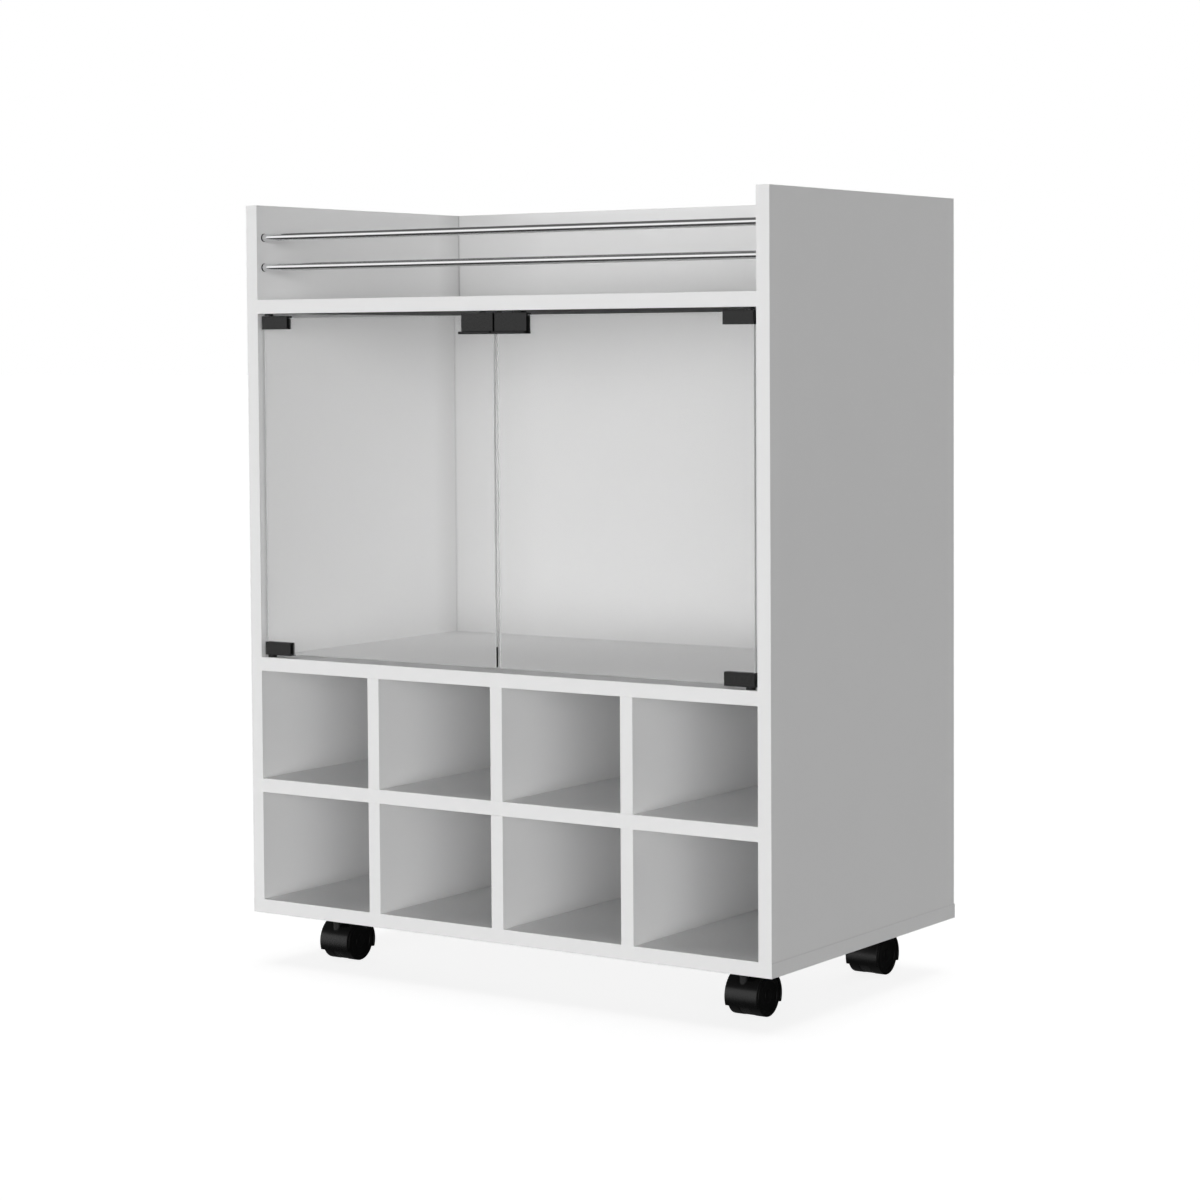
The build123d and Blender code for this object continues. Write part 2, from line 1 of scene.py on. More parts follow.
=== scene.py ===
"""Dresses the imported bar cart: its finishes, screws, rubber and caster mouldings, the studio light and the camera.

Everything is in metres in the frame of the solids: x to the right, y to the back, z up from the floor.
"""

import json
import logging
import math
from dataclasses import dataclass
from enum import Enum

import bpy
import numpy as np
from mathutils import Matrix, Vector


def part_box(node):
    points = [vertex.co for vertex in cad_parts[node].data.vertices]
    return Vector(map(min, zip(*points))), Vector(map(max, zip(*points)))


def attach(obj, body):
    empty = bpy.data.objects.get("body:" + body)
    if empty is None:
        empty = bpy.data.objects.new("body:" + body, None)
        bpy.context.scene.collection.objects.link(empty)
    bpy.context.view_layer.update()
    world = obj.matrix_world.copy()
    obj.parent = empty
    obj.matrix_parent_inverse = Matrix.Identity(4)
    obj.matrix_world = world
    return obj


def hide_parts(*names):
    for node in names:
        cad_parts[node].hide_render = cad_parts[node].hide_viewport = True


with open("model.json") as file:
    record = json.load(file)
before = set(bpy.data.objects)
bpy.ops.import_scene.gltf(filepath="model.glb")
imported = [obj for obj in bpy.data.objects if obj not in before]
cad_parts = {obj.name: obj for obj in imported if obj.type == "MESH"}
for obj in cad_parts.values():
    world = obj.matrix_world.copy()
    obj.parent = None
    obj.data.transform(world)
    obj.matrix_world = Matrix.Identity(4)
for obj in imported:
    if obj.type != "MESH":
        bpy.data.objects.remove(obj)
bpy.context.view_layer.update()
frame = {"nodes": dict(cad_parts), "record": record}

log = logging.getLogger("bar_cart")

Colour = tuple[float, float, float]
Triple = tuple[float, float, float]
Skin = tuple[np.ndarray, list[list[int]]]

MM = 0.001

# Part of a noise's range that holds nearly all of its values
NOISE_SPAN = (0.3, 0.7)
# Radii in millimetres at which a turned profile closes on its axis and a screw ends in its tip
AXIS = 0.05
TIP = 0.1
# Least divisor
TINY = 1e-9


class Slot(Enum):
    """Finishes that the record gives to the nodes."""

    BOARD = "white_board"
    RAIL = "polished_rail"
    GLASS = "clear_glass"
    BLACK_METAL = "black_metal"
    BLACK_PLASTIC = "black_plastic"
    WHEEL = "wheel_plastic"
    ZINC = "zinc_fitting"
    BEECH = "beech_dowel"
    MAGNET = "magnet"
    RUBBER = "pad_rubber"
    GROUND_EDGE = "ground_edge"
    PAINTED_SHADE_UNDERSIDE = "painted_shade_underside"


class Drive(Enum):
    """Recesses that a screw is turned by."""

    CROSS = "cross"
    HEXAGON = "hexagon"


class Tree:
    """Adds nodes to one node tree and joins their sockets."""

    def __init__(self, tree: bpy.types.NodeTree) -> None:
        """Keeps the tree."""
        self.tree = tree

    def add(self, kind: str, inputs: dict | None = None, **settings: object) -> bpy.types.Node:
        """Adds a node.

        Args:
            kind: the node's type.
            inputs: for an input, by name or number, a plain value or the output that feeds it.
            settings: the node's own properties.

        Returns:
            The new node.
        """
        node = self.tree.nodes.new(kind)
        for name, value in settings.items():
            setattr(node, name, value)
        for key, value in (inputs or {}).items():
            if isinstance(value, bpy.types.NodeSocket):
                self.tree.links.new(value, node.inputs[key])
            else:
                node.inputs[key].default_value = value
        return node

    def mix_colours(self, share: bpy.types.NodeSocket, first: object, second: object) -> bpy.types.NodeSocket:
        """Mixes two colours.

        Args:
            share: how much of the second colour shows.
            first: a colour, or the output that gives it.
            second: a colour, or the output that gives it.

        Returns:
            The output with the mixed colour.
        """
        ends = [(*c, 1.0) if isinstance(c, tuple) else c for c in (first, second)]
        mix = self.add("ShaderNodeMix", {0: share, 6: ends[0], 7: ends[1]}, data_type="RGBA")
        return mix.outputs[2]

    def spread(self, value: bpy.types.NodeSocket, low: float, high: float, start: float = 0.0,
               end: float = 1.0) -> bpy.types.NodeSocket:
        """Carries a value from one range to another, held at the ends.

        Args:
            value: the output to carry over.
            low: what start becomes.
            high: what end becomes.
            start: lowest value that counts.
            end: highest value that counts.

        Returns:
            The output with the new value.
        """
        ends = {"Value": value, "From Min": start, "From Max": end, "To Min": low, "To Max": high}
        return self.add("ShaderNodeMapRange", ends).outputs["Result"]

    def either(self, *values: bpy.types.NodeSocket) -> bpy.types.NodeSocket:
        """Gives the largest of several values.

        Args:
            values: the outputs to compare.

        Returns:
            The output with the largest.
        """
        largest = values[0]
        for value in values[1:]:
            largest = self.add("ShaderNodeMath", {0: largest, 1: value}, operation="MAXIMUM").outputs[0]
        return largest

    def away(self, value: bpy.types.NodeSocket, middle: float = 0.0) -> bpy.types.NodeSocket:
        """Gives how far a value is from a middle, either way.

        Args:
            value: the output to measure.
            middle: what it is measured from.

        Returns:
            The output with the distance.
        """
        off = self.add("ShaderNodeMath", {0: value, 1: middle}, operation="SUBTRACT").outputs[0]
        return self.add("ShaderNodeMath", {0: off}, operation="ABSOLUTE").outputs[0]

    def times(self, first: bpy.types.NodeSocket, second: object, more: object = 0.0) -> bpy.types.NodeSocket:
        """Multiplies two values and adds a third.

        Args:
            first: an output.
            second: a number or an output.
            more: a number or an output.

        Returns:
            The output with the result.
        """
        inputs = {0: first, 1: second, 2: more}
        return self.add("ShaderNodeMath", inputs, operation="MULTIPLY_ADD").outputs[0]


def new_group(name: str, inputs: dict[str, str], outputs: tuple[str, ...]) -> tuple[Tree, dict, bpy.types.Node]:
    """Starts a shader node group.

    Args:
        name: the group's name.
        inputs: the kind of each named input, Vector or Float.
        outputs: names of the values that it puts out.

    Returns:
        The group's tree, its inputs as outputs to link from, and its output node.
    """
    group = bpy.data.node_groups.new(name, "ShaderNodeTree")
    for title, kind in inputs.items():
        group.interface.new_socket(title, in_out="INPUT", socket_type=f"NodeSocket{kind}")
    for title in outputs:
        group.interface.new_socket(title, in_out="OUTPUT", socket_type="NodeSocketFloat")
    tree = Tree(group)
    entry = tree.add("NodeGroupInput")
    return tree, {title: entry.outputs[title] for title in inputs}, tree.add("NodeGroupOutput")


def grain_group() -> bpy.types.NodeTree:
    """Builds the grain of a surface: a fine relief, and slow drifts of tone a hundred grains wide.

    Returns:
        The group, with the outputs Height and Tone.
    """
    drift = 0.012
    tree, given, leave = new_group("fine_grain", {"Vector": "Vector", "Scale": "Float"}, ("Height", "Tone"))
    fine = tree.add("ShaderNodeTexNoise", {"Vector": given["Vector"], "Scale": given["Scale"], "Detail": 3.0})
    slow = tree.add("ShaderNodeMath", {0: given["Scale"], 1: drift}, operation="MULTIPLY")
    broad = tree.add("ShaderNodeTexNoise", {"Vector": given["Vector"], "Scale": slow.outputs[0], "Detail": 2.0})
    tree.tree.links.new(fine.outputs[0], leave.inputs["Height"])
    tree.tree.links.new(broad.outputs[0], leave.inputs["Tone"])
    return tree.tree


def scuff_group() -> bpy.types.NodeTree:
    """Builds the marks of handling: patches of short streaks where a broad noise runs high.

    Returns:
        The group, with the output Mask.
    """
    finer, patch_span, streak_span = 14.0, (0.5, 0.75), (0.45, 0.65)
    tree, given, leave = new_group("handling_scuffs", {"Vector": "Vector", "Scale": "Float"}, ("Mask",))
    broad = tree.add("ShaderNodeTexNoise", {"Vector": given["Vector"], "Scale": given["Scale"], "Detail": 2.0})
    fine_scale = tree.add("ShaderNodeMath", {0: given["Scale"], 1: finer}, operation="MULTIPLY")
    fine = tree.add("ShaderNodeTexNoise", {"Vector": given["Vector"], "Scale": fine_scale.outputs[0], "Detail": 4.0})
    patches = tree.spread(broad.outputs[0], 0.0, 1.0, *patch_span)
    streaks = tree.spread(fine.outputs[0], 0.0, 1.0, *streak_span)
    mask = tree.add("ShaderNodeMath", {0: patches, 1: streaks}, operation="MULTIPLY")
    tree.tree.links.new(mask.outputs[0], leave.inputs["Mask"])
    return tree.tree


GRAIN = grain_group()
SCUFFS = scuff_group()


@dataclass(frozen=True)
class Finish:
    """An opaque finish: a colour that drifts a little, gloss that follows the grain, and a fine relief."""

    slot: Slot
    colour: Colour
    roughness: tuple[float, float]
    grain: float
    relief: float
    tone: float = 0.03
    stretch: Triple = (1.0, 1.0, 1.0)
    metallic: float = 0.0
    specular: float = 0.5
    scuff_scale: float = 30.0
    scuff_colour: Colour | None = None

    def material(self) -> bpy.types.Material:
        """Draws the finish.

        Returns:
            The material.
        """
        made = bpy.data.materials.new(self.slot.value)
        made.use_nodes = True
        made.node_tree.nodes.clear()
        tree = Tree(made.node_tree)
        plain = {"Metallic": self.metallic, "Specular IOR Level": self.specular}
        shader = tree.add("ShaderNodeBsdfPrincipled", plain)
        self.draw(tree, shader)
        tree.add("ShaderNodeOutputMaterial", {"Surface": self.surface(tree, shader)})
        return made

    def surface(self, tree: Tree, shader: bpy.types.Node) -> bpy.types.NodeSocket:
        """Gives the shader as it is."""
        return shader.outputs["BSDF"]

    def place(self, tree: Tree) -> bpy.types.NodeSocket:
        """Gives the point of the surface, drawn out along the grain.

        Args:
            tree: the material's tree.

        Returns:
            The output with the point.
        """
        point = tree.add("ShaderNodeTexCoord").outputs["Object"]
        return tree.add("ShaderNodeMapping", {"Vector": point, "Scale": self.stretch}).outputs[0]

    def draw(self, tree: Tree, shader: bpy.types.Node) -> None:
        """Feeds the shader's colour, gloss and relief.

        Args:
            tree: the material's tree.
            shader: the Principled BSDF to feed.
        """
        point = self.place(tree)
        grain = tree.add("ShaderNodeGroup", node_tree=GRAIN)
        tree.tree.links.new(point, grain.inputs["Vector"])
        grain.inputs["Scale"].default_value = self.grain
        dark = tuple(c * (1.0 - self.tone) for c in self.colour)
        light = tuple(c * (1.0 + self.tone) for c in self.colour)
        colour = tree.mix_colours(grain.outputs["Tone"], dark, light)
        gloss = tree.spread(grain.outputs["Height"], *self.roughness, *NOISE_SPAN)
        if self.scuff_colour is not None:
            scuffs = tree.add("ShaderNodeGroup", node_tree=SCUFFS)
            tree.tree.links.new(point, scuffs.inputs["Vector"])
            scuffs.inputs["Scale"].default_value = self.scuff_scale
            colour = tree.mix_colours(scuffs.outputs["Mask"], colour, self.scuff_colour)
        bump = tree.add("ShaderNodeBump", {"Height": grain.outputs["Height"], "Distance": self.relief})
        for name, source in (("Base Color", colour), ("Roughness", gloss), ("Normal", bump.outputs[0])):
            tree.tree.links.new(source, shader.inputs[name])


@dataclass(frozen=True)
class BoardFinish(Finish):
    """White melamine, with the edge band's glue line, painted shade in the upright back corners and the joint of base
    and sides.
    """

    front: float = 0.0
    inner: float = 0.0
    outer: float = 0.0
    joint: float = 0.0
    backs: tuple[float, float] = (0.0, 0.0)
    floors: tuple[float, float] = (0.0, 0.0)
    band: float = 0.5 * MM
    line: float = 0.12 * MM
    line_colour: Colour = (0.62, 0.61, 0.58)
    # Painted shade: this dark colour is laid into the upright back corners and along a crease at their line; it also
    # draws the joint line of base and sides
    joint_and_painted_shade_colour: Colour = (0.2, 0.2, 0.2)
    painted_shade_reach: float = 130.0 * MM
    painted_shade_share: float = 0.26
    painted_shade_stretch: float = 3.0
    painted_crease_reach: tuple[float, float] = (0.5 * MM, 3.0 * MM)
    painted_crease_share: float = 0.22
    step_depths: tuple[float, float] = (8.0 * MM, 7.0 * MM)
    inside_from: tuple[float, float] = (-2.0 * MM, -1.0 * MM)
    outside_from: tuple[float, float] = (0.4 * MM, 0.2 * MM)
    joint_width: float = 0.9 * MM
    joint_share: float = 0.2

    def draw(self, tree: Tree, shader: bpy.types.Node) -> None:
        """Feeds the shader as any finish, then lays glue line, joint line and the painted shade of the corners over
        the colour.

        Args:
            tree: the material's tree.
            shader: the Principled BSDF to feed.
        """
        super().draw(tree, shader)
        colour = shader.inputs["Base Color"].links[0].from_socket
        spot = tree.add("ShaderNodeSeparateXYZ", {0: tree.add("ShaderNodeTexCoord").outputs["Object"]}).outputs
        share = tree.spread(tree.away(spot["Y"], self.front + self.band), 1.0, 0.0, 0.0, self.line)
        lined = tree.mix_colours(share, colour, self.line_colour)
        # Painted shade in the corners darkens the colour; the joint line is the boards' own dark joint
        shade = tree.either(self.corner(tree, spot), self.joint_line(tree, spot))
        tree.tree.links.new(tree.mix_colours(shade, lined, self.joint_and_painted_shade_colour), shader.inputs["Base Color"])

    def joint_line(self, tree: Tree, spot: bpy.types.NodeOutputs) -> bpy.types.NodeSocket:
        """Gives the fine line where the sides stand on the base: it fades with the height from it.

        Args:
            tree: the material's tree.
            spot: the outputs with the point's coordinates.

        Returns:
            The output with the share of the line's colour, nought except on the outer faces.
        """
        edges = (self.outer - depth for depth in self.outside_from)
        outside = tree.spread(tree.away(spot["X"]), 0.0, 1.0, *edges)
        line = tree.spread(tree.away(spot["Z"], self.joint), self.joint_share, 0.0, 0.0, self.joint_width)
        return tree.times(outside, line)

    def corner(self, tree: Tree, spot: bpy.types.NodeOutputs) -> bpy.types.NodeSocket:
        """Gives the painted shade of the upright corners of cabinet and tray: a darkening of the colour that falls off
        with the distance from their line.

        Along the side the distance counts for more, so the painted shade is narrower there. A thin painted dark crease
        marks the line.

        Args:
            tree: the material's tree.
            spot: the outputs with the point's coordinates.

        Returns:
            The output with the share of the painted shade colour, nought outside the cart and in the cubbies.
        """
        aside = tree.times(tree.away(spot["X"]), -1.0, self.inner)
        face = tree.spread(spot["Z"], *self.backs, *(self.floors[1] - depth for depth in self.step_depths))
        ahead = tree.add("ShaderNodeMath", {0: face, 1: spot["Y"]}, operation="SUBTRACT").outputs[0]
        plan = tree.add("ShaderNodeCombineXYZ", {"X": aside, "Y": tree.times(ahead, self.painted_shade_stretch)}).outputs[0]
        length = tree.add("ShaderNodeVectorMath", {0: plan}, operation="LENGTH").outputs["Value"]
        soft = tree.spread(length, self.painted_shade_share, 0.0, 0.0, self.painted_shade_reach)
        crease = tree.spread(length, self.painted_crease_share, 0.0, *self.painted_crease_reach)
        inside = tree.times(*(tree.spread(depth, 0.0, 1.0, *self.inside_from) for depth in (aside, ahead)))
        above = tree.spread(spot["Z"], 0.0, 1.0, *(self.floors[0] + depth for depth in self.inside_from))
        return tree.times(tree.times(inside, above), tree.times(soft, 1.0, crease))


@dataclass(frozen=True)
class GlassFinish(Finish):
    """Clear glass under a thin film of dust, which lets the room's light through to what stands behind it."""

    ior: float = 1.5
    clear: float = 0.915
    shadow: Colour = (0.97, 0.97, 0.97)

    def draw(self, tree: Tree, shader: bpy.types.Node) -> None:
        """Feeds the shader as any finish and makes it transmit.

        Args:
            tree: the material's tree.
            shader: the Principled BSDF to feed.
        """
        super().draw(tree, shader)
        shader.inputs["Transmission Weight"].default_value = self.clear
        shader.inputs["IOR"].default_value = self.ior

    def surface(self, tree: Tree, shader: bpy.types.Node) -> bpy.types.NodeSocket:
        """Mixes the glass with a plain clear pane for shadows and for light between matt surfaces.

        Args:
            tree: the material's tree.
            shader: the glass.

        Returns:
            The output with the mixed shader.
        """
        path = tree.add("ShaderNodeLightPath").outputs
        soft = tree.either(path["Is Shadow Ray"], path["Is Diffuse Ray"])
        pane = tree.add("ShaderNodeBsdfTransparent", {"Color": (*self.shadow, 1.0)})
        ends = {0: soft, 1: shader.outputs["BSDF"], 2: pane.outputs["BSDF"]}
        return tree.add("ShaderNodeMixShader", ends).outputs[0]


def finishes() -> dict[Slot, bpy.types.Material]:
    """Draws every finish of the cart.

    Returns:
        The material of each slot.
    """
    side, back, tray = (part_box(node) for node in ("left_side_panel", "back_panel", "tray_back"))
    floors = tuple(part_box(node)[1].z for node in ("cabinet_floor", "top_shelf"))
    along_x = (0.015, 1.0, 1.0)
    kinds = (
        BoardFinish(Slot.BOARD, colour=(0.86, 0.86, 0.86), roughness=(0.42, 0.52), grain=1100.0, relief=0.002 * MM,
                    tone=0.01, specular=0.3, front=side[0].y, inner=-side[1].x, outer=-side[0].x, joint=side[0].z,
                    backs=(back[0].y, tray[0].y), floors=floors),
        Finish(Slot.RAIL, colour=(0.84, 0.84, 0.845), roughness=(0.09, 0.15), grain=2600.0, relief=0.001 * MM,
               stretch=along_x, metallic=1.0),
        GlassFinish(Slot.GLASS, colour=(0.99, 0.99, 0.99), roughness=(0.0, 0.012), grain=9.0, relief=0.0, tone=0.004),
        Finish(Slot.GROUND_EDGE, colour=(0.72, 0.73, 0.725), roughness=(0.55, 0.75), grain=2600.0, relief=0.004 * MM,
               tone=0.06),
        # Painted shade: the top shelf's underside is coloured dark grey to stand in for the shade under it
        Finish(Slot.PAINTED_SHADE_UNDERSIDE, colour=(0.16, 0.16, 0.16), roughness=(0.75, 0.9), grain=1400.0, relief=0.01 * MM,
               tone=0.1, specular=0.0),
        Finish(Slot.BLACK_METAL, colour=(0.003, 0.003, 0.003), roughness=(0.24, 0.32), grain=2400.0,
               relief=0.006 * MM, tone=0.2, specular=0.42),
        Finish(Slot.BLACK_PLASTIC, colour=(0.0015, 0.0015, 0.0015), roughness=(0.22, 0.30), grain=1900.0,
               relief=0.008 * MM, tone=0.2, specular=0.45),
        Finish(Slot.WHEEL, colour=(0.0012, 0.0012, 0.0012), roughness=(0.28, 0.38), grain=1700.0, relief=0.008 * MM,
               tone=0.2, specular=0.25, scuff_scale=60.0, scuff_colour=(0.006, 0.006, 0.006)),
        Finish(Slot.ZINC, colour=(0.60, 0.60, 0.58), roughness=(0.28, 0.42), grain=1500.0, relief=0.006 * MM,
               tone=0.06, metallic=1.0, scuff_scale=90.0, scuff_colour=(0.52, 0.52, 0.53)),
        Finish(Slot.BEECH, colour=(0.56, 0.36, 0.19), roughness=(0.55, 0.70), grain=1400.0, relief=0.05 * MM,
               tone=0.16, stretch=along_x),
        Finish(Slot.MAGNET, colour=(0.045, 0.045, 0.048), roughness=(0.55, 0.75), grain=2600.0, relief=0.03 * MM,
               tone=0.15),
        Finish(Slot.RUBBER, colour=(0.004, 0.004, 0.004), roughness=(0.70, 0.85), grain=1800.0, relief=0.03 * MM,
               tone=0.15, specular=0.12),
    )
    return {kind.slot: kind.material() for kind in kinds}


def face_normals(mesh: bpy.types.Mesh) -> np.ndarray:
    """Reads the normals of a mesh.

    Args:
        mesh: the mesh.

    Returns:
        The normal of every face, one in a row.
    """
    normals = np.empty(len(mesh.polygons) * 3)
    mesh.polygons.foreach_get("normal", normals)
    return normals.reshape(-1, 3)


def second_finish(mesh: bpy.types.Mesh, material: bpy.types.Material, faces: np.ndarray) -> None:
    """Gives some faces of a node a finish of their own.

    Args:
        mesh: the node's mesh.
        material: the second finish.
        faces: for each face, whether it has that finish.
    """
    mesh.materials.append(material)
    mesh.polygons.foreach_set("material_index", faces.astype(np.int32))


def dress_nodes(materials: dict[Slot, bpy.types.Material]) -> None:
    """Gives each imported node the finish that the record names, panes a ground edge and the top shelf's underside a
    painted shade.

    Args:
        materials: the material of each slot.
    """
    # How much of its normal lies along an axis on a face that looks that way
    facing = 0.8
    for part in frame["record"]["subparts"]:
        mesh = frame["nodes"][part["node"]].data
        mesh.materials.clear()
        slot = Slot(part["material_slot"])
        mesh.materials.append(materials[slot])
        if slot is Slot.GLASS:
            normals = face_normals(mesh)
            # The right pane stays clear where it meets the left one
            meeting = (part["node"] == "right_door_glass") & (normals[:, 0] < -facing)
            second_finish(mesh, materials[Slot.GROUND_EDGE], (np.abs(normals[:, 1]) < facing) & ~meeting)
        # Painted shade: the top shelf's downward faces get a dark colour in place of the shade that falls there
        if part["node"] == "top_shelf":
            second_finish(mesh, materials[Slot.PAINTED_SHADE_UNDERSIDE], face_normals(mesh)[:, 2] < -facing)


def skin(rings: np.ndarray) -> Skin:
    """Makes a closed surface of rings: point j of ring i joins its neighbours on both, and the end rings are capped.

    Args:
        rings: rings by points by coordinates, in millimetres.

    Returns:
        The points and the faces, turned outwards.
    """
    count, around = rings.shape[:2]
    index = np.arange(count * around).reshape(count, around)
    ahead = np.roll(index, -1, axis=1)
    quads = np.stack([index[:-1], ahead[:-1], ahead[1:], index[1:]], axis=-1).reshape(-1, 4)
    points = rings.reshape(-1, 3)
    corners = points[quads] - points.mean(axis=0)
    halves = np.cross(corners[:, 1] - corners[:, 0], corners[:, 3] - corners[:, 0])
    caps = np.array([index[0, ::-1], index[-1]])
    rims = points[caps] - points.mean(axis=0)
    cap_areas = np.cross(rims, np.roll(rims, -1, axis=1)).sum(axis=1) / 2.0
    volume = (corners.mean(axis=1) * halves).sum() + (rims.mean(axis=1) * cap_areas).sum()
    faces = quads.tolist() + caps.tolist()
    return points, faces if volume > 0 else [face[::-1] for face in faces]


def together(skins: list[Skin]) -> Skin:
    """Puts several closed surfaces into one.

    Args:
        skins: the surfaces.

    Returns:
        All their points, and their faces counted on.
    """
    starts = np.cumsum([0] + [len(points) for points, _ in skins])
    faces = [(np.array(face) + start).tolist() for (_, some), start in zip(skins, starts) for face in some]
    return np.concatenate([points for points, _ in skins]), faces


def arc(middle: tuple[float, float], radius: float, start: float, end: float, steps: int = 6) -> np.ndarray:
    """Gives points on an arc: the middle plus the radius times the cosine and sine of an angle in degrees."""
    angle = np.radians(np.linspace(start, end, steps))
    return np.array(middle) + radius * np.column_stack([np.cos(angle), np.sin(angle)])


def revolve(profile: np.ndarray, around: int, side: float = 1.0) -> np.ndarray:
    """Turns a profile about x: each radius goes round by the cosine and sine of the angle, each height lies along x.

    Args:
        profile: a radius and a height in each row, in millimetres.
        around: how many points go round.
        side: 1 where the heights run to the right, -1 where to the left.

    Returns:
        A ring for each row.
    """
    angle = np.linspace(0.0, 2.0 * math.pi, around, endpoint=False)
    along = np.broadcast_to(side * profile[:, 1:], (len(profile), around))
    return np.stack([along, profile[:, :1] * np.cos(angle), profile[:, :1] * np.sin(angle)], axis=-1)


def add_piece(name: str, surface: Skin, material: bpy.types.Material, body: str,
              replaced: tuple[str, ...] = ()) -> None:
    """Adds a finished piece that moves with a body.

    Args:
        name: the piece's name.
        surface: its points, in millimetres, and faces.
        material: its finish.
        body: the body it rides on.
        replaced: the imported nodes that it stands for.
    """
    crease = math.radians(34.0)
    points, faces = surface
    mesh = bpy.data.meshes.new(name)
    mesh.from_pydata((points * MM).tolist(), [], faces)
    mesh.polygons.foreach_set("use_smooth", np.ones(len(mesh.polygons), dtype=bool))
    mesh.set_sharp_from_angle(angle=crease)
    mesh.materials.append(material)
    piece = bpy.data.objects.new(name, mesh)
    bpy.context.scene.collection.objects.link(piece)
    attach(piece, body)
    if replaced:
        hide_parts(*replaced)
    log.info("%s: %d points on %s", name, len(points), body)


@dataclass
class Screw:
    """A screw seen from its head: round rings from the tip to the rim of its face, with a drive sunk in the face."""

    stem: tuple[tuple[float, float], ...]
    drive: Drive
    drive_width: float
    drive_depth: float
    taper: float = 0.8
    arm_angle: float = 15.0
    middle_share: float = 0.02
    around: int = 96

    def outline(self, angle: np.ndarray) -> np.ndarray:
        """Gives the radius of the drive's outline at each angle.

        A hexagon's is half its width over the cosine of the angle from the nearest flat. A cross's is the nearer of
        an arm's end, half the width over the larger of cosine and sine, and its flank, a share of that half over the
        smaller.

        Args:
            angle: angles round the axis.

        Returns:
            The radii.
        """
        half = self.drive_width / 2.0
        if self.drive is Drive.HEXAGON:
            sixth = math.pi / 3.0
            return half / np.cos((angle + sixth / 2.0) % sixth - sixth / 2.0)
        across = np.sort(np.abs([np.cos(angle), np.sin(angle)]), axis=0)
        flank = half * math.tan(math.radians(self.arm_angle))
        return np.minimum(half / across[1], flank / np.maximum(across[0], TINY))

    def rings(self) -> np.ndarray:
        """Works out the rings about z: round ones up to the face, then the drive's outline, foot and middle.

        Returns:
            Rings by points by coordinates.
        """
        angle = np.linspace(0.0, 2.0 * math.pi, self.around, endpoint=False)
        circle = np.column_stack([np.cos(angle), np.sin(angle)])
        drive = circle * self.outline(angle)[:, None]
        face = self.stem[-1][1]
        foot = face - self.drive_depth
        flat = [(circle * radius, height) for radius, height in self.stem]
        flat += [(drive, face), (drive * self.taper, foot), (drive * self.middle_share, foot)]
        return np.stack([np.column_stack([plane, np.full(self.around, height)]) for plane, height in flat])

    def set_at(self, places: list[Triple], facing: Triple) -> Skin:
        """Copies the screw to several places.

        Args:
            places: where the middles of the faces are, in millimetres.
            facing: the direction that the heads face.

        Returns:
            All the screws as one surface.
        """
        turn = np.array(Vector((0.0, 0.0, 1.0)).rotation_difference(Vector(facing)).to_matrix())
        rings = self.rings() @ turn.T
        return together([skin(rings + np.array(place)) for place in places])


def corners_of(node: str, inset: float, flat: int) -> list[Triple]:
    """Finds the places of four screws that stand at the corners of a node's box.

    Args:
        node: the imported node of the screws.
        inset: the head's radius, in millimetres.
        flat: the axis that the screws lie along, as a number; its place is left at nought.

    Returns:
        The four places, in millimetres.
    """
    low, high = (np.array(corner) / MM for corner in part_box(node))
    sides = [(low[k] + inset, high[k] - inset) if k != flat else (0.0,) for k in range(3)]
    return [tuple(float(c) for c in place) for place in np.stack(np.meshgrid(*sides), axis=-1).reshape(-1, 3)]


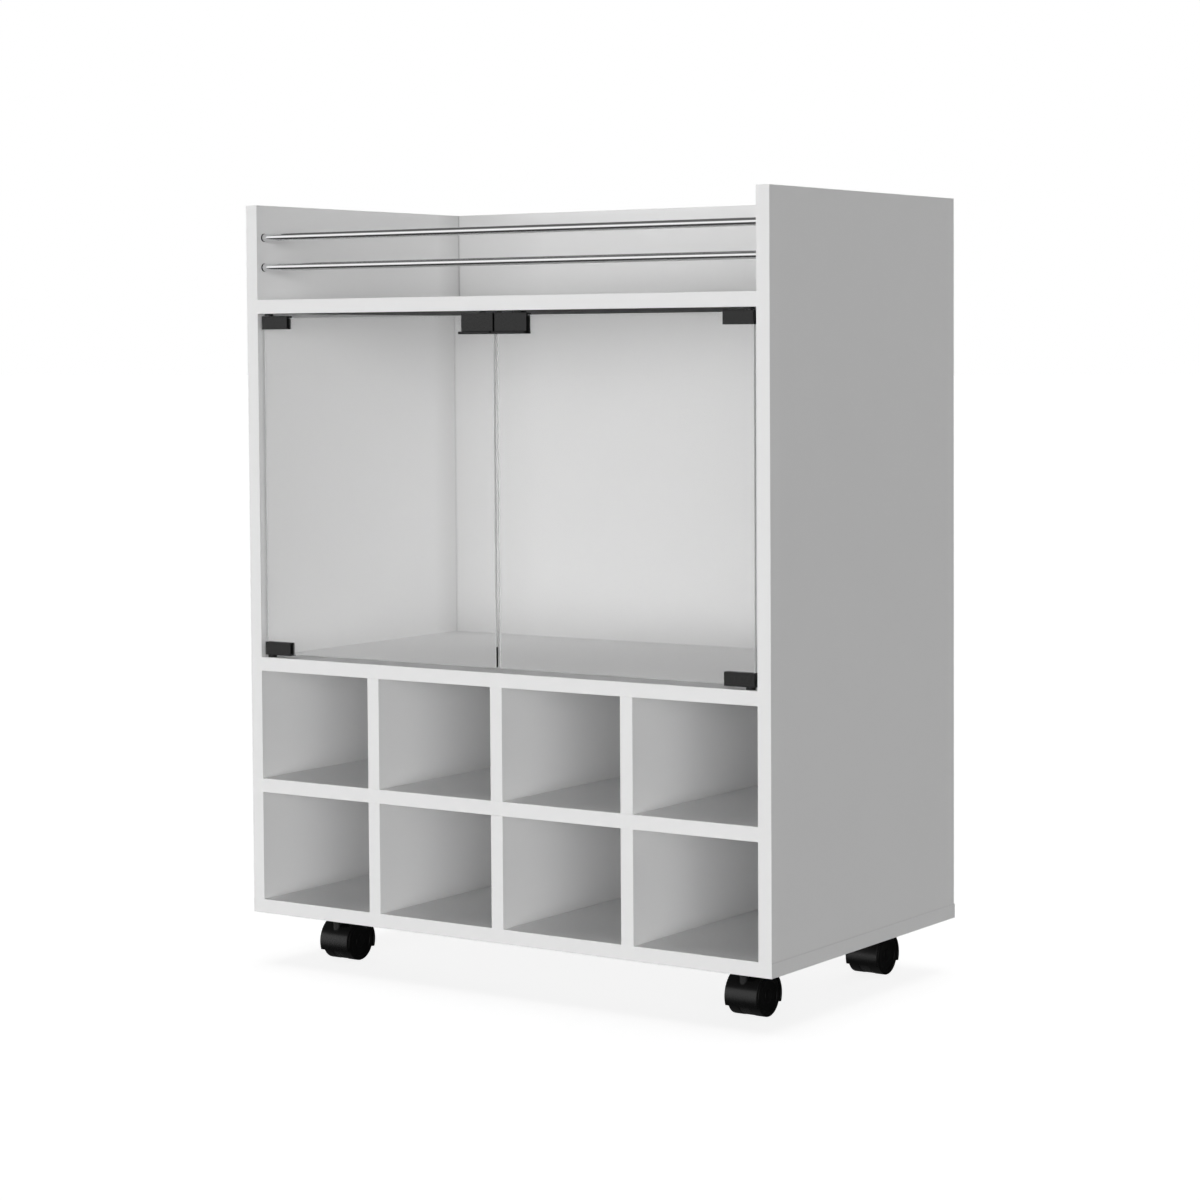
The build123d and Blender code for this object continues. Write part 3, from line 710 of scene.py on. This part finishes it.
@dataclass
class CarcassScrews:
    """Countersunk screws under the base and in the back, and pan-head screws of the caster plates and the catch."""

    head: float = 4.8
    shank: float = 2.5
    sink: float = 2.3
    length: float = 48.0
    point: tuple[float, float] = (5.0, 8.0)
    point_share: float = 0.7
    rim: tuple[tuple[float, float], ...] = ((0.1, -0.15), (0.15, -0.05), (0.3, 0.0))
    cross: tuple[float, float] = (5.2, 2.0)
    pan_head: float = 3.7
    pan_height: float = 2.0
    pan_slope: float = 80.0
    pan_cross: tuple[float, float] = (3.6, 1.1)
    plate_half: float = 21.0
    plate_inset: float = 15.0
    catch_inset: float = 4.2

    def countersunk(self) -> Screw:
        """Gives the wood screw: a pointed shank, the cone under the head and a cross in its face.

        Returns:
            The screw.
        """
        slim = self.shank * self.point_share
        start, end = (length - self.length for length in self.point)
        point = ((TIP, -self.length), (slim, start), (self.shank, end), (self.shank, -self.sink))
        rim = tuple((self.head - inset, height) for inset, height in self.rim)
        return Screw(point + rim, Drive.CROSS, *self.cross)

    def pan(self) -> Screw:
        """Gives the pan-head screw, cut off just inside what it holds: a low dome with a cross.

        Returns:
            The screw.
        """
        dome = arc((self.pan_head - self.pan_height, 0.0), self.pan_height, 0.0, self.pan_slope)
        stem = ((TIP, -TIP), (self.pan_head, -TIP), *(tuple(point) for point in dome.tolist()))
        return Screw(stem, Drive.CROSS, *self.pan_cross)

    def build(self, materials: dict[Slot, bpy.types.Material]) -> None:
        """Adds all the screws.

        Args:
            materials: the material of each slot.
        """
        zinc = materials[Slot.ZINC]
        under = [(x, y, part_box("base_screws")[0].z / MM) for x, y, _ in corners_of("base_screws", self.head, 2)]
        behind = [(x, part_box("back_screws")[1].y / MM, z) for x, _, z in corners_of("back_screws", self.head, 1)]
        wood = self.countersunk()
        add_piece("base_screw_heads", wood.set_at(under, (0, 0, -1)), zinc, "carcass", ("base_screws",))
        add_piece("back_screw_heads", wood.set_at(behind, (0, 1, 0)), zinc, "carcass", ("back_screws",))
        plate_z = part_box("caster_plates")[0].z / MM
        plates = corners_of("caster_plates", self.plate_half, 2)
        reach = self.plate_inset
        spots = [(x + i * reach, y + j * reach, plate_z) for x, y, _ in plates for i in (-1, 1) for j in (-1, 1)]
        add_piece("plate_screws", self.pan().set_at(spots, (0, 0, -1)), zinc, "carcass")
        low, high = (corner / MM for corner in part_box("catch_housing"))
        middle = (low.y + high.y) / 2.0
        spots = [(x, middle, low.z) for x in (low.x + self.catch_inset, high.x - self.catch_inset)]
        add_piece("catch_screws", self.pan().set_at(spots, (0, 0, -1)), zinc, "carcass")


@dataclass
class DoorScrews:
    """Set screws in the back jaws of a door's hinges and pull, each with a hexagon socket."""

    hand: str
    side: float
    radius: float = 2.0
    length: float = 2.2
    foot_edge: float = 0.3
    rim_edge: tuple[float, float] = (0.2, 0.25)
    socket: tuple[float, float] = (2.0, 1.3)
    socket_taper: float = 0.97
    hinge_xs: tuple[float, float] = (301.8, 319.8)
    hinge_zs: tuple[float, float] = (368.8, 740.2)
    pull: tuple[float, float] = (22.55, 736.4)

    def build(self, materials: dict[Slot, bpy.types.Material]) -> None:
        """Adds the door's set screws.

        Args:
            materials: the material of each slot.
        """
        node = f"{self.hand}_door_set_screws"
        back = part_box(node)[1].y / MM
        spots = [(x, z) for x in self.hinge_xs for z in self.hinge_zs] + [self.pull]
        edge, (inset, depth) = self.foot_edge, self.rim_edge
        foot = ((TIP, -self.length), (self.radius - edge, -self.length), (self.radius, edge - self.length))
        rim = ((self.radius, -depth), (self.radius - inset, 0.0))
        screw = Screw(foot + rim, Drive.HEXAGON, *self.socket, taper=self.socket_taper)
        places = [(self.side * x, back, z) for x, z in spots]
        name = f"{self.hand}_door_grub_screws"
        add_piece(name, screw.set_at(places, (0, 1, 0)), materials[Slot.ZINC], f"{self.hand}_door", (node,))


@dataclass
class RailShadeCollars:
    """Dark rubber rings round the ends of the rails, where they enter the sides; their darkness is painted shade,
    standing in for the contact shade there.
    """

    length: float = 1.5
    proud: float = 0.25
    around: int = 64

    def build(self, materials: dict[Slot, bpy.types.Material]) -> None:
        """Adds the rings: a rounded profile turned about each rail.

        Args:
            materials: the material of each slot.
        """
        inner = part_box("left_side_panel")[1].x / MM
        skins = []
        for rail in ("lower_rail", "upper_rail"):
            low, high = (np.array(corner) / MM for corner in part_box(rail))
            middle, radius = (low + high) / 2.0, (high[2] - low[2]) / 2.0
            tip = arc((radius, self.length - self.proud), self.proud, 0.0, 90.0)
            profile = np.concatenate([[(AXIS, 0.0), (radius + self.proud, 0.0)], tip, [(AXIS, self.length)]])
            skins += [skin(revolve(profile, self.around, side) + (side * inner, middle[1], middle[2]))
                      for side in (1.0, -1.0)]
        add_piece("rail_shade_collars", together(skins), materials[Slot.RUBBER], "carcass")


def bar(low: np.ndarray, high: np.ndarray, rounding: float) -> Skin:
    """Makes an upright bar: a rounded rectangle carried from foot to head and drawn in at both.

    Args:
        low: its lowest corner, in millimetres.
        high: its highest corner.
        rounding: the radius of its edges.

    Returns:
        The closed bar.
    """
    middle, half = (low + high)[:2] / 2.0, (high - low)[:2] / 2.0 - rounding
    turns = ((1, 1, 0.0), (-1, 1, 90.0), (-1, -1, 180.0), (1, -1, 270.0))
    drawn = 0.3
    levels = ((low[2], drawn), (low[2] + rounding, 1.0), (high[2] - rounding, 1.0), (high[2], drawn))
    rings = []
    for level, share in levels:
        loop = [arc(tuple(middle + half * (i, j)), rounding * share, start, start + 90.0) for i, j, start in turns]
        flat = np.concatenate(loop)
        rings.append(np.column_stack([flat, np.full(len(flat), level)]))
    return skin(np.stack(rings))


@dataclass
class DoorRubbers:
    """Dark rubber of a door: gaskets that show at its clamps' ends and, on the left door, a buffer near the foot."""

    hand: str
    side: float
    hinge_margin: float
    pull_margin: float
    tuck: float = 1.0
    thickness: float = 0.35
    rounding: float = 0.15
    buffer_height: float = 22.0
    buffer_lift: float = 1.0
    buffer_thickness: float = 0.9
    buffer_inset: float = 0.9
    buffer_rounding: float = 0.3

    def gasket(self, clamp: str, pane: tuple[np.ndarray, np.ndarray], inward: float, margin: float) -> Skin:
        """Makes a thin gasket between a clamp and the pane.

        Args:
            clamp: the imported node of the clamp.
            pane: the pane's lowest and highest corners, in millimetres.
            inward: 1 where it shows at the clamp's end towards the middle of the cart, -1 at the other end.
            margin: how far it shows.

        Returns:
            The gasket.
        """
        low, high = (np.array(corner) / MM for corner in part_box(clamp))
        end = high[0] if self.side * inward < 0 else low[0]
        xs = sorted((end + self.side * inward * self.tuck, end - self.side * inward * margin))
        zs = (max(low[2], pane[0][2]) + self.rounding, min(high[2], pane[1][2]) - self.rounding)
        face = pane[0][1]
        return bar(np.array([xs[0], face - self.thickness, zs[0]]), np.array([xs[1], face, zs[1]]), self.rounding)

    def build(self, materials: dict[Slot, bpy.types.Material]) -> None:
        """Adds the gaskets and the buffer.

        Args:
            materials: the material of each slot.
        """
        door, rubber = f"{self.hand}_door", materials[Slot.RUBBER]
        pane = tuple(np.array(corner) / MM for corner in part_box(f"{door}_glass"))
        hinges = [self.gasket(f"{door}_{end}_hinge", pane, 1.0, self.hinge_margin) for end in ("top", "bottom")]
        skins = [*hinges, self.gasket(f"{door}_pull", pane, -1.0, self.pull_margin)]
        add_piece(f"{door}_gaskets", together(skins), rubber, door)
        if self.side < 0:
            foot = np.array([pane[1][0], pane[0][1] + self.buffer_inset, pane[0][2] + self.buffer_lift])
            size = np.array([self.buffer_thickness, pane[1][1] - self.buffer_inset - foot[1], self.buffer_height])
            add_piece(f"{door}_buffer", bar(foot, foot + size, self.buffer_rounding), rubber, door)


CORNERS = ("front_left", "front_right", "back_left", "back_right")


@dataclass
class Caster:
    """Hood and wheels of one caster, with the soft edges of moulded plastic."""

    corner: str
    wall: float = 3.6
    skirt: float = 9.5
    web_half: float = 6.5
    web_radius: float = 21.8
    web_bite: float = 0.25
    web_middle: tuple[float, float] = (0.5, 1.0)
    outer_edge: float = 1.1
    inner_edge: float = 0.35
    inner_rim: float = 0.5
    dish: float = 16.5
    dish_depth: float = 0.9
    bore: float = 3.05
    cap: float = 2.0
    boss: tuple[tuple[float, float], ...] = ((2.4, 0.0), (2.3, 1.0), (2.0, 1.6), (1.0, 1.9))
    around: int = 112

    def shell(self, half_width: float, outer: float) -> Skin:
        """Works out the hood's shell: a rounded section carried round the axle down to a level cut on both sides.

        At radius r the section runs from the angle whose sine is minus the skirt over r to half a turn less that.

        Args:
            half_width: half the hood's width.
            outer: its outer radius.

        Returns:
            The closed shell about the axle, as x along it, y to the back and z up.
        """
        inner = outer - self.wall
        big, small = self.outer_edge, self.inner_edge
        loop = np.concatenate([
            arc((half_width - big, outer - big), big, 0.0, 90.0),
            arc((big - half_width, outer - big), big, 90.0, 180.0),
            arc((small - half_width, inner + small), small, 180.0, 270.0),
            arc((half_width - small, inner + small), small, 270.0, 360.0),
        ])
        share = np.linspace(0.0, 1.0, self.around)[:, None]
        below = np.arcsin(-self.skirt / loop[:, 1])[None, :]
        angle = below + (math.pi - 2.0 * below) * share
        along = np.broadcast_to(loop[:, 0], angle.shape)
        return skin(np.stack([along, -loop[:, 1] * np.cos(angle), loop[:, 1] * np.sin(angle)], axis=-1))

    def web(self, inner: float) -> Skin:
        """Works out the web between the wheels: an outline about the axle, drawn in at both faces by a rounded rim.

        Above the level cut the outline reaches into the shell; below it follows the cut, then a circle under the axle.

        Args:
            inner: the shell's inner radius.

        Returns:
            The closed web about the axle.
        """
        angle = np.linspace(0.0, 2.0 * math.pi, self.around, endpoint=False)
        down = np.maximum(-np.sin(angle), TINY)
        radius = np.clip(self.skirt / down, self.web_radius, inner + self.wall * self.web_bite)
        edge = self.inner_edge
        least, core = self.web_middle
        rim = np.concatenate([
            [(core - inner, -self.web_half)],
            arc((-edge, edge - self.web_half), edge, -90.0, 0.0),
            arc((-edge, self.web_half - edge), edge, 0.0, 90.0),
            [(core - inner, self.web_half)],
        ])
        drawn = np.maximum(radius + rim[:, :1], least)
        along = np.broadcast_to(rim[:, 1:], drawn.shape)
        return skin(np.stack([along, -drawn * np.cos(angle), drawn * np.sin(angle)], axis=-1))

    def wheel(self, width: float, radius: float, side: float) -> Skin:
        """Works out a wheel by turning a profile about the axle: a bored hub, a rounded tread and a dished outer face.

        A low boss stands in the dish, its radii counted in bores and its heights in inner edges.

        Args:
            width: the wheel's width.
            radius: the tread's radius.
            side: 1 where the outer face looks to the right, -1 where to the left.

        Returns:
            The closed wheel about the axle, from its inner face at nought.
        """
        big, small = self.outer_edge, self.inner_edge
        floor = width - self.dish_depth
        profile = np.concatenate([
            [(AXIS, width - self.cap), (self.bore, width - self.cap), (self.bore, small), (self.bore + small, 0.0)],
            arc((radius - self.inner_rim, self.inner_rim), self.inner_rim, -90.0, 0.0),
            arc((radius - big, width - big), big, 0.0, 90.0),
            arc((self.dish + small, width - small), small, 90.0, 180.0),
            arc((self.dish - small, floor + small), small, 0.0, -90.0),
            [(self.bore * out, floor + small * up) for out, up in self.boss],
            [(AXIS, floor + 2.0 * small)],
        ])
        return skin(revolve(profile, self.around, side))

    def build(self, materials: dict[Slot, bpy.types.Material]) -> None:
        """Adds the hood and both wheels over their solids.

        Args:
            materials: the material of each slot.
        """
        body = f"{self.corner}_caster"
        hood = f"{body}_hood"
        low, high = (np.array(corner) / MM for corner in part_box(hood))
        outer = (high[1] - low[1]) / 2.0
        axle = np.array([(low[0] + high[0]) / 2.0, (low[1] + high[1]) / 2.0, high[2] - outer])
        points, faces = together([self.shell((high[0] - low[0]) / 2.0, outer), self.web(outer - self.wall)])
        plastic = materials[Slot.BLACK_PLASTIC]
        add_piece(f"{hood}_moulding", (points + axle, faces), plastic, body, (hood,))
        for hand, side in (("left", -1.0), ("right", 1.0)):
            node = f"{body}_{hand}_wheel"
            low, high = (np.array(corner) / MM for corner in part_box(node))
            radius = (high[2] - low[2]) / 2.0
            points, faces = self.wheel(high[0] - low[0], radius, side)
            hub = np.array([low[0] if side > 0 else high[0], axle[1], low[2] + radius])
            add_piece(f"{node}_moulding", (points + hub, faces), materials[Slot.WHEEL], node, (node,))


@dataclass
class StudioFloor:
    """Pale floor that runs to the horizon, shows the cart's shadow and lets the low light from below it pass."""

    reach: float = 60.0
    colour: Colour = (0.45, 0.45, 0.45)
    glow: float = 0.84
    below: float = 0.2 * MM

    def build(self) -> None:
        """Lays the floor as a square just under the wheels."""
        corners = np.array([(-1, -1), (1, -1), (1, 1), (-1, 1)]) * self.reach
        points = np.column_stack([corners, np.full(len(corners), -self.below)])
        mesh = bpy.data.meshes.new("floor")
        mesh.from_pydata(points.tolist(), [], [tuple(range(len(corners)))])
        mesh.materials.append(self.material())
        floor = bpy.data.objects.new("floor", mesh)
        floor.visible_diffuse = False
        floor.visible_glossy = False
        floor.visible_shadow = False
        bpy.context.scene.collection.objects.link(floor)

    def material(self) -> bpy.types.Material:
        """Draws a matt floor that glows towards the camera, so that it is white where no shadow falls.

        Returns:
            The material.
        """
        made = bpy.data.materials.new("pale_floor")
        made.use_nodes = True
        made.node_tree.nodes.clear()
        tree = Tree(made.node_tree)
        path = tree.add("ShaderNodeLightPath").outputs
        seen = tree.either(path["Is Camera Ray"], path["Is Transmission Ray"])
        matt = tree.add("ShaderNodeBsdfDiffuse", {"Color": (*self.colour, 1.0)})
        shine = tree.add("ShaderNodeEmission", {"Strength": tree.times(seen, self.glow)})
        both = tree.add("ShaderNodeAddShader", {0: matt.outputs[0], 1: shine.outputs[0]})
        tree.add("ShaderNodeOutputMaterial", {"Surface": both.outputs[0]})
        return made


@dataclass(frozen=True)
class SoftPanel:
    """A soft-edged patch of the surround that gives light, with its middle and half sizes in degrees."""

    azimuth: float
    elevation: float
    half_width: float
    half_height: float
    level: float
    edge: float = 0.5

    def draw(self, tree: Tree, turn: bpy.types.NodeSocket, rise: bpy.types.NodeSocket) -> bpy.types.NodeSocket:
        """Gives its light: the level over the middle, fading to nothing across the soft edge.

        Args:
            tree: the world's tree.
            turn: the output with the direction's angle from the front, towards the right.
            rise: the output with the direction's angle above the horizon.

        Returns:
            The output with the light.
        """
        shares = []
        for angle, middle, half in ((turn, self.azimuth, self.half_width), (rise, self.elevation, self.half_height)):
            off = tree.add("ShaderNodeMath", {0: angle, 1: math.radians(middle)}, operation="SUBTRACT").outputs[0]
            near = tree.add("ShaderNodeMath", {0: off, 1: math.pi, 2: -math.pi}, operation="WRAP").outputs[0]
            start, end = (math.radians(half) * (1.0 + side * self.edge) for side in (-1.0, 1.0))
            shares.append(tree.spread(tree.away(near), 1.0, 0.0, start, end))
        return tree.times(tree.times(shares[0], shares[1]), self.level)


@dataclass
class Studio:
    """Soft light all from the surround: a key beside the camera, a low fill, two from behind and one overhead."""

    panels: tuple[SoftPanel, ...] = (
        SoftPanel(azimuth=34.6, elevation=2.4, half_width=32.0, half_height=9.5, level=6.0),
        SoftPanel(azimuth=-33.0, elevation=-2.2, half_width=26.1, half_height=4.0, level=8.4),
        SoftPanel(azimuth=180.0, elevation=5.0, half_width=22.0, half_height=22.0, level=1.8),
        SoftPanel(azimuth=-112.0, elevation=5.0, half_width=14.0, half_height=22.0, level=1.9),
        SoftPanel(azimuth=0.0, elevation=90.0, half_width=720.0, half_height=22.0, level=1.9, edge=0.2),
    )
    base: float = 0.03
    mirrored: tuple[SoftPanel, ...] = (
        SoftPanel(azimuth=-10.0, elevation=11.0, half_width=85.0, half_height=22.5, level=1.0, edge=0.45),
        SoftPanel(azimuth=0.0, elevation=-90.0, half_width=720.0, half_height=42.0, level=0.13, edge=0.4),
        SoftPanel(azimuth=0.0, elevation=90.0, half_width=720.0, half_height=45.0, level=0.13, edge=0.3),
        SoftPanel(azimuth=230.0, elevation=10.0, half_width=28.0, half_height=22.0, level=0.5),
    )

    def build(self) -> None:
        """Draws the surround: white to the camera and through glass, and in mirrors white in front, dim underfoot."""
        world = bpy.data.worlds.new("studio")
        world.use_nodes = True
        world.node_tree.nodes.clear()
        tree = Tree(world.node_tree)
        way = tree.add("ShaderNodeSeparateXYZ", {0: tree.add("ShaderNodeTexCoord").outputs["Generated"]}).outputs
        ahead = tree.times(way["Y"], -1.0)
        turn = tree.add("ShaderNodeMath", {0: way["X"], 1: ahead}, operation="ARCTAN2").outputs[0]
        rise = tree.add("ShaderNodeMath", {0: way["Z"]}, operation="ARCSINE").outputs[0]
        soft = mirrored = self.base
        for panel in self.panels:
            soft = tree.times(panel.draw(tree, turn, rise), 1.0, soft)
        for panel in self.mirrored:
            mirrored = tree.times(panel.draw(tree, turn, rise), 1.0, mirrored)
        path = tree.add("ShaderNodeLightPath").outputs
        colour = tree.mix_colours(path["Is Glossy Ray"], soft, mirrored)
        seen = tree.either(path["Is Camera Ray"], path["Is Transmission Ray"])
        colour = tree.mix_colours(seen, colour, (1.0, 1.0, 1.0))
        sky = tree.add("ShaderNodeBackground", {"Color": colour})
        tree.add("ShaderNodeOutputWorld", {"Surface": sky.outputs[0]})
        bpy.context.scene.world = world
        bpy.context.scene.view_settings.view_transform = "Standard"


@dataclass
class StudioCamera:
    """Camera at the photograph's viewing angle, turned about its aim point on the cart."""

    aim: Triple = (-0.01721, 0.02995, 0.53577)
    distance: float = 3.489
    azimuth: float = 34.418
    elevation: float = 2.885
    roll: float = -0.355
    lens: float = 90.914
    drop: float = -0.0836
    sensor: float = 36.0
    sight: float = 200.0

    def build(self) -> None:
        """Sets the camera: back points from the aim point to it, right and up follow the roll."""
        turn, rise, lean = (math.radians(a) for a in (self.azimuth, self.elevation, self.roll))
        flat = math.cos(rise)
        back = Vector((math.sin(turn) * flat, -math.cos(turn) * flat, math.sin(rise)))
        level = Vector((math.cos(turn), math.sin(turn), 0.0))
        upright = back.cross(level)
        right = level * math.cos(lean) + upright * math.sin(lean)
        data = bpy.data.cameras.new("camera")
        data.sensor_width = self.sensor
        data.lens = self.lens
        data.shift_y = self.drop
        data.clip_end = self.sight
        camera = bpy.data.objects.new("camera", data)
        bpy.context.scene.collection.objects.link(camera)
        axes = Matrix((right, back.cross(right), back)).transposed().to_4x4()
        camera.matrix_world = Matrix.Translation(Vector(self.aim) + back * self.distance) @ axes
        bpy.context.scene.camera = camera


def main() -> None:
    """Dresses the cart, adds its screws, rubber and mouldings, and builds the studio."""
    logging.basicConfig(level=logging.INFO, format="%(message)s")
    materials = finishes()
    dress_nodes(materials)
    CarcassScrews().build(materials)
    RailShadeCollars().build(materials)
    for hand, side in (("left", -1.0), ("right", 1.0)):
        DoorScrews(hand, side).build(materials)
    DoorRubbers("left", -1.0, hinge_margin=3.0, pull_margin=0.9).build(materials)
    DoorRubbers("right", 1.0, hinge_margin=0.9, pull_margin=3.0).build(materials)
    for corner in CORNERS:
        Caster(corner).build(materials)
    StudioFloor().build()
    Studio().build()
    StudioCamera().build()


if __name__ == "__main__":
    main()
